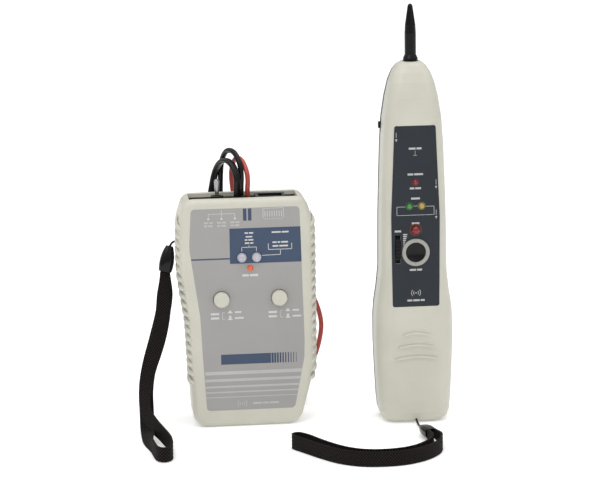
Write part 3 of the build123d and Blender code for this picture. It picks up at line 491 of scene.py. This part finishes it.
lead("black_test_lead", BLACK_ROUTE, 2.9, "black_cord")
lead("red_test_lead", RED_ROUTE, 2.6, "red_cord")
telephone_cord()
strap("toner_strap", TONER_STRAP_ROUTE,
      [(1, 0.2, 0), (1, 0, 0.1), (0.9, -0.4, 0.2), (0.6, -0.6, 0.5), (0.2, -0.1, 1), (0, 0, 1), (0, 0, 1),
       (0.8, -0.1, 0.6), (1, -0.3, 0.2), (1, -0.3, 0), (1, 0, 0), (1, 0.2, 0)],
      TONER, {"band": "toner_strap_band", "crimp": "toner_strap_crimp", "string": "toner_strap_string"})
strap("probe_strap", PROBE_STRAP_ROUTE, [(0, 0, 1), (0, 0, 1)],
      PROBE, {"band": "probe_strap_band", "crimp": "probe_strap_crimp", "string": "probe_strap_string"})


# ---------------------------------------------------------------- toner: grips down both sides
EDGE_RADIUS = 3.5         # the toner's rounded front edge
EDGE_START_Y = -10.5      # where that rounding leaves the flat side
GRIP_TURN = radians(68)   # how far round that edge a bump starts
GRIP_SIDE_RUN = 6.5       # how far a bump goes on along the flat side
GRIP_CLIMB = 0.5          # height gained per millimetre of run
GRIP_SINK = 0.1           # how deep a bump's middle line lies under the surface
GRIP_PITCH = 4.6
GRIP_LOW, GRIP_HIGH = 24.0, 110.0
BUMP = (1.6, 1.6)         # half width and rise
# half width and rise of the thin dark marks between the bumps, which are painted shade
SHADE_MARK = (0.6, 0.25)


def grip_bump(side_x, sign, z, half_wide, rise, rows=10, around=10):
    """A pointed oval bump that climbs round the toner's front edge and on along its side."""
    verts = []
    bend = EDGE_RADIUS * GRIP_TURN
    for row in range(rows + 1):
        share = row / rows
        run = share * (bend + GRIP_SIDE_RUN)
        angle = GRIP_TURN * max(0.0, 1 - run / bend)
        normal = Vector((sign * cos(angle), -sin(angle), 0))
        middle = Vector((side_x - sign * EDGE_RADIUS, EDGE_START_Y + max(0.0, run - bend),
                         z + GRIP_CLIMB * run))
        middle += normal * (EDGE_RADIUS - GRIP_SINK)
        across = Vector((-normal.y * 0.45, normal.x * 0.45, 0)) - Vector((0, 0, sign * 0.9))
        swell = 1 - (2 * share - 1) ** 2
        for index in range(around):
            turn = 2 * pi * index / around
            verts.append(tuple(middle + across * half_wide * swell ** 0.7 * cos(turn)
                               + normal * rise * swell ** 0.6 * sin(turn)))
    return verts, ring_faces(rows + 1, around)


# (z, x) down the toner's two sides
LEFT_SIDE = [(25, -31.0), (32, -30.9), (58, -31.9), (71, -33.8), (84, -35.5), (100, -35.7), (114, -35.3)]
RIGHT_SIDE = [(25, 34.0), (31.5, 35.4), (58, 35.7), (84, 35.7), (100, 35.7), (114, 35.3)]


def side_at(side, z):
    for (z0, x0), (z1, x1) in zip(side, side[1:]):
        if z <= z1:
            return x0 + (x1 - x0) * (z - z0) / (z1 - z0)
    return side[-1][1]


def side_grips():
    """A row of slanted bumps down each side, with a thin dark mark between neighbours: painted shade where the
    bumps shade each other.
    """
    bumps = []
    shade_marks = []
    for side, sign in ((LEFT_SIDE, -1), (RIGHT_SIDE, 1)):
        z = GRIP_LOW
        while z < GRIP_HIGH:
            bumps.append(grip_bump(side_at(side, z + 3), sign, z, *BUMP))
            middle = z + GRIP_PITCH / 2
            shade_marks.append(grip_bump(side_at(side, middle + 3), sign, middle, *SHADE_MARK))
            z += GRIP_PITCH
    # the second mesh holds the dark marks of painted shade between the bumps
    for name, parts, material in (("toner_side_grips", bumps, MATERIALS["cream_plastic"]),
                                  ("toner_grip_painted_shade", shade_marks, PRINT_MATERIALS["painted_shade"])):
        verts, faces = joined(parts)
        place_piece(new_mesh(name, verts, faces, material), TONER, "cream_plastic")


side_grips()


# ---------------------------------------------------------------- toner: rim of the network jack
JACK_INSIDE = (7.9, 20.5, -4.4, 3.0)       # x, x, y, y, just clear of the socket
JACK_RIM = 1.6
JACK_RIM_FOOT = 118.8
JACK_RIM_TOP = 122.3


def network_jack_rim():
    """The black rim that stands up round the network socket in the toner's top."""
    x0, x1, y0, y1 = JACK_INSIDE
    left, right = x0 - JACK_RIM, x1 + JACK_RIM
    walls = [(left, right, y0 - JACK_RIM, y0), (left, right, y1, y1 + JACK_RIM),
             (left, x0, y0, y1), (x1, right, y0, y1)]
    verts, faces = joined([box_part(*wall, JACK_RIM_FOOT, JACK_RIM_TOP) for wall in walls])
    obj = new_mesh("toner_network_jack_rim", verts, faces, MATERIALS["black_plastic"])
    place_piece(obj, TONER, "black_plastic")


network_jack_rim()


# ---------------------------------------------------------------- print on the two labels
class Print:
    """Flat print a hair proud of a label: closed outlines in x and z, each in one ink."""

    def __init__(self, y):
        self.y = y
        self.inks = {name: [] for name in PRINT_MATERIALS}

    def shape(self, ink, corners, lift=0.0):
        count = len(corners)
        front = self.y - 0.05 - lift
        verts = [(x, front, z) for x, z in corners] + [(x, self.y + 0.05, z) for x, z in corners]
        faces = [tuple(range(count)), tuple(range(2 * count - 1, count - 1, -1))]
        for index in range(count):
            after = (index + 1) % count
            faces.append((index, after, count + after, count + index))
        self.inks[ink].append((verts, faces))

    def bar(self, ink, x0, x1, z0, z1, lift=0.0):
        self.shape(ink, [(x0, z0), (x1, z0), (x1, z1), (x0, z1)], lift)

    def line(self, ink, start, end, width, lift=0.0):
        direction = Vector((end[0] - start[0], end[1] - start[1])).normalized()
        nx, nz = -direction.y * width / 2, direction.x * width / 2
        self.shape(ink, [(start[0] + nx, start[1] + nz), (start[0] - nx, start[1] - nz),
                         (end[0] - nx, end[1] - nz), (end[0] + nx, end[1] + nz)], lift)

    def path(self, ink, points, width, lift=0.0):
        for start, end in zip(points, points[1:]):
            self.line(ink, start, end, width, lift)

    def disc(self, ink, x, z, radius, lift=0.0):
        self.shape(ink, [(x + radius * cos(2 * pi * index / 20), z + radius * sin(2 * pi * index / 20))
                         for index in range(20)], lift)

    def arc(self, ink, x, z, radius, middle, spread, width, lift=0.0):
        steps = 8
        points = []
        for index in range(steps + 1):
            angle = radians(middle - spread + 2 * spread * index / steps)
            points.append((x + radius * cos(angle), z + radius * sin(angle)))
        self.path(ink, points, width, lift)

    def words(self, ink, x, z, lengths, tall=0.8, lift=0.0):
        """A caption stood in for by a row of plain dashes, centred on x."""
        left = x - (sum(lengths) + 0.5 * (len(lengths) - 1)) / 2
        for length in lengths:
            self.bar(ink, left, left + length, z - tall / 2, z + tall / 2, lift)
            left += length + 0.5

    def waves_icon(self, ink, x, z):
        """A dot between two pairs of arcs: sound or radio waves."""
        self.disc(ink, x, z, 0.35)
        for radius in (1.3, 2.4):
            self.arc(ink, x, z, radius, 0, 42, 0.3)
            self.arc(ink, x, z, radius, 180, 42, 0.3)

    def finish(self, name, body, slot):
        for ink, parts in self.inks.items():
            if parts:
                verts, faces = joined(parts)
                obj = new_mesh(f"{name}_{ink}", verts, faces, PRINT_MATERIALS[ink])
                place_piece(obj, body, slot)


LINE = 0.22               # width of thin printed lines
PANEL_LINE = 0.3
PANEL_LIFT = 0.06         # print on the blue panel stands this much above it


def panel_ground(ink):
    ink.shape("blue", [(-8.6, 88.4), (29.1, 88.4), (28.7, 107.2), (-8.6, 107.2)])
    ink.line("blue", (-28.9, 91.2), (-8.6, 91.2), 0.7)


def switch_row(ink):
    """The toggle's three places, with captions, and the two boxes beside them."""
    for x in (-1.3, 1.3):
        ink.bar("blue", x, x + 1.8, 111.2, 117.6)
    ink.path("light", [(-19.5, 113.4), (-19.5, 115.2), (-5.6, 115.2), (-5.6, 113.4)], LINE)
    ink.line("light", (-12.6, 113.4), (-12.6, 117.4), LINE)
    for x in (-19.5, -12.6, -5.6):
        ink.disc("light", x, 112.6, 0.55)
        ink.words("pale", x, 110.6, (2.2, 2.0), 0.9)
        ink.words("pale", x, 108.9, (1.6, 2.4), 0.9)


def plug_icon(ink):
    """An open box with a row of eight pins."""
    ink.path("light", [(9.2, 112.2), (9.2, 117.4), (20.0, 117.4), (20.0, 112.2)], LINE)
    for index in range(8):
        x = 10.2 + index * 1.25
        ink.line("light", (x, 113.0), (x, 116.0), 0.3)
        ink.line("pale", (x, 111.4), (x, 112.2), 0.5)


def panel_marks(ink):
    """Brackets and captions on the blue panel, above the two line lamps."""
    ink.path("light", [(-2.3, 94.8), (-2.3, 97.0), (5.4, 97.0), (5.4, 94.8)], PANEL_LINE, PANEL_LIFT)
    ink.line("light", (1.5, 97.0), (1.5, 98.0), PANEL_LINE, PANEL_LIFT)
    for z, lengths in ((99.2, (2.4, 1.6)), (100.9, (1.4, 2.6)), (102.6, (3.4,)), (104.6, (1.8, 2.2))):
        ink.words("light", 1.6, z, lengths, 0.75, PANEL_LIFT)
    ink.path("light", [(11.7, 98.6), (11.7, 95.4), (24.0, 95.4), (24.0, 98.6)], PANEL_LINE, PANEL_LIFT)
    ink.path("light", [(18.0, 95.4), (18.0, 92.6), (8.2, 92.4)], PANEL_LINE, PANEL_LIFT)
    for z, lengths in ((97.2, (3.0, 4.6)), (99.2, (2.2, 1.4, 3.6)), (104.6, (4.8, 3.6))):
        ink.words("light", 18.0, z, lengths, 0.8, PANEL_LIFT)


def button_marks(ink):
    """Under each button: two captions, a bracket, and the button drawn up and down."""
    for x in (-13.5, 17.0):
        ink.words("light", x - 3.6, 61.7, (4.4,), 1.1)
        ink.words("light", x - 3.6, 59.4, (4.4,), 1.1)
        ink.words("light", x + 8.6, 62.4, (3.4,), 0.9)
        ink.words("light", x + 9.2, 59.2, (4.6,), 0.9)
        ink.path("light", [(x + 1.6, 62.4), (x + 0.4, 62.4), (x + 0.4, 58.8), (x + 1.6, 58.8)], LINE)
        ink.bar("light", x + 3.2, x + 5.6, 61.9, 62.5)
        ink.bar("light", x + 3.8, x + 5.0, 62.5, 63.3)
        ink.bar("light", x + 3.2, x + 5.6, 58.3, 58.9)
        ink.bar("light", x + 3.8, x + 5.0, 58.9, 60.5)


def stripes(ink):
    """Five stripes that thin out downwards, cut along the label's slanting right edge."""
    for top, thick in ((30.5, 1.8), (26.4, 1.4), (22.6, 1.0), (19.5, 0.7), (16.6, 0.4)):
        left = -22.9 if top > 20 else -22.6
        ink.bar("pale", left, 24.6 + (top - 9.2) * 0.19, top - thick, top)


def plain_bar(ink):
    """A blue bar that breaks into thinning bars at its right."""
    low, high = 34.2, 39.6
    ink.bar("blue", -14.4, 12.0, low, high)
    for index in range(10):
        x = 12.3 + index * 1.45
        ink.bar("blue", x, x + 1.15 - index * 0.1, low, high)


def toner_print():
    ink = Print(LABEL_Y)
    panel_ground(ink)
    switch_row(ink)
    plug_icon(ink)
    panel_marks(ink)
    ink.words("light", 1.9, 82.0, (3.4, 4.4), 1.2)
    button_marks(ink)
    stripes(ink)
    plain_bar(ink)
    ink.waves_icon("pale", -3.6, 12.6)
    ink.words("pale", 9.0, 12.6, (4.6, 3.2, 5.0), 1.0)
    ink.finish("toner_print", TONER, "toner_label_film")


OVER_CURRENT_Z = 130.2
TELEPHONE_LED_Z = 117.6
TELEPHONE_LED_X = 3.25
SIGNAL_Z = 104.9
# x, z, radius and ink of the disc of painted glow round each lamp on the probe, seen as a tinted ring
GLOWS = [
    (0, OVER_CURRENT_Z, 2.1, "red_painted_glow"),
    (0, SIGNAL_Z, 3.3, "red_painted_glow"),
    (-TELEPHONE_LED_X, TELEPHONE_LED_Z, 2.2, "green_painted_glow"),
    (TELEPHONE_LED_X, TELEPHONE_LED_Z, 2.2, "yellow_painted_glow"),
]
FINE_LINE = 0.18


def telephone_lamp_box(ink, x):
    """The thin box behind the green and yellow lamps, open where they stand."""
    high, low = TELEPHONE_LED_Z - 0.3, TELEPHONE_LED_Z - 4.8
    ink.path("light", [(x - 1.6, TELEPHONE_LED_Z), (x + 1.6, TELEPHONE_LED_Z)], FINE_LINE)
    for side in (-1, 1):
        ink.path("light", [(x + side * 4.8, high), (x + side * 9.8, high), (x + side * 9.8, low)], FINE_LINE)
    ink.line("light", (x - 9.8, low), (x + 9.8, low), FINE_LINE)


def volume_wedge(ink, x):
    """A wedge of seven stripes beside the volume wheel."""
    for index in range(7):
        z = 102.6 - index
        ink.bar("light", x - 6.6, x - 4.4 - index * 0.28, z - 0.24, z + 0.24)


def side_arrows(ink, x):
    """Small arrows at the label's edges that point to the switch and the sockets in the probe's sides."""
    for side, z in ((-1, 152.4), (1, 127.2), (1, 111.2)):
        edge = x + side * (9.9 if z > 140 else 10.9)
        ink.shape("pale", [(edge - 0.6, z + 0.7), (edge + 0.6, z + 0.7), (edge, z - 0.7)])
        ink.line("pale", (edge, z + 1.4), (edge, z + 4.2), 0.25)


def probe_print():
    ink = Print(PROBE_LABEL_Y)
    x = PROBE_X
    telephone_lamp_box(ink, x)
    volume_wedge(ink, x)
    ink.line("pale", (x - 1.0, 144.4), (x + 1.0, 144.4), FINE_LINE)
    ink.line("pale", (x, 144.4), (x, 146.8), FINE_LINE)
    for z, lengths in ((148.0, (3.6, 2.6)), (134.4, (3.0, 4.6)), (127.0, (2.4, 3.0)), (121.6, (4.6,)),
                       (108.4, (4.0,)), (83.6, (3.4, 2.6)), (67.2, (2.6, 3.4, 2.2))):
        ink.words("pale", x, z, lengths, 1.0)
    ink.words("pale", x - 9.4, 104.4, (3.4,), 1.0)
    # a disc of painted glow round each lamp
    for lamp_x, lamp_z, radius, glow in GLOWS:
        ink.disc(glow, x + lamp_x, lamp_z, radius, 0.04)
    side_arrows(ink, x)
    ink.waves_icon("pale", x, 71.2)
    ink.finish("probe_print", PROBE, "probe_label_film")


toner_print()
probe_print()


# ---------------------------------------------------------------- what is left of the CAD nodes
def finish_nodes():
    """Every CAD node that stays gets its slot's material."""
    for row in frame["record"]["subparts"]:
        node = frame["nodes"][row["node"]]
        node.data.materials.clear()
        node.data.materials.append(MATERIALS[row["material_slot"]])


finish_nodes()


# ---------------------------------------------------------------- floor and light
def area_light(name, place, size, power, aim):
    data = bpy.data.lights.new(name, "AREA")
    data.shape = "RECTANGLE"
    data.size, data.size_y = size
    data.energy = power
    light = add_object(name, data)
    light.location = place
    light.rotation_euler = (Vector(aim) - Vector(place)).to_track_quat("-Z", "Y").to_euler()


SKY_LOW = 0.28            # brightness at the horizon, beside 1 overhead
SKY_STRENGTH = 1.1


def sky():
    """An even white room, brighter overhead, so that metal has something to reflect."""
    world = bpy.data.worlds.new("world")
    bpy.context.scene.world = world
    world.use_nodes = True
    tree = world.node_tree
    split = tree.nodes.new("ShaderNodeSeparateXYZ")
    tree.links.new(tree.nodes.new("ShaderNodeTexCoord").outputs["Generated"], split.inputs["Vector"])
    ramp = tree.nodes.new("ShaderNodeValToRGB")
    ramp.color_ramp.elements[0].position = 0.0
    ramp.color_ramp.elements[0].color = (SKY_LOW, SKY_LOW, SKY_LOW, 1)
    ramp.color_ramp.elements[1].position = 0.7
    ramp.color_ramp.elements[1].color = (1, 1, 1, 1)
    tree.links.new(split.outputs["Z"], ramp.inputs["Fac"])
    background = tree.nodes["Background"]
    tree.links.new(ramp.outputs["Color"], background.inputs["Color"])
    background.inputs["Strength"].default_value = SKY_STRENGTH


FLOOR_GLOW = 0.2          # keeps the floor white up to the horizon
LIGHT_AIM = (0.03, 0, 0.1)
# name, place, size and power of each soft light
LIGHTS = [
    ("key", (-0.7, -1.0, 1.3), (0.9, 0.7), 4),
    ("fill", (0.9, -1.1, 0.7), (0.8, 0.8), 1.2),
    ("top", (0.05, -0.1, 1.4), (0.9, 0.9), 5),
]


def studio():
    verts, faces = box_part(-6000, 6000, -6000, 9000, -20, -0.05)
    material = Shader("floor", (0.96, 0.96, 0.96), 0.9, Specular_IOR_Level=0.1)
    material.set("Emission Color", (1, 1, 1, 1))
    material.set("Emission Strength", FLOOR_GLOW)
    material.vary_roughness(material.noise(8, 2), 0.85, 0.95)
    floor = new_mesh("floor", verts, faces, material.material)
    sky()
    for name, place, size, power in LIGHTS:
        area_light(name, place, size, power, LIGHT_AIM)


studio()
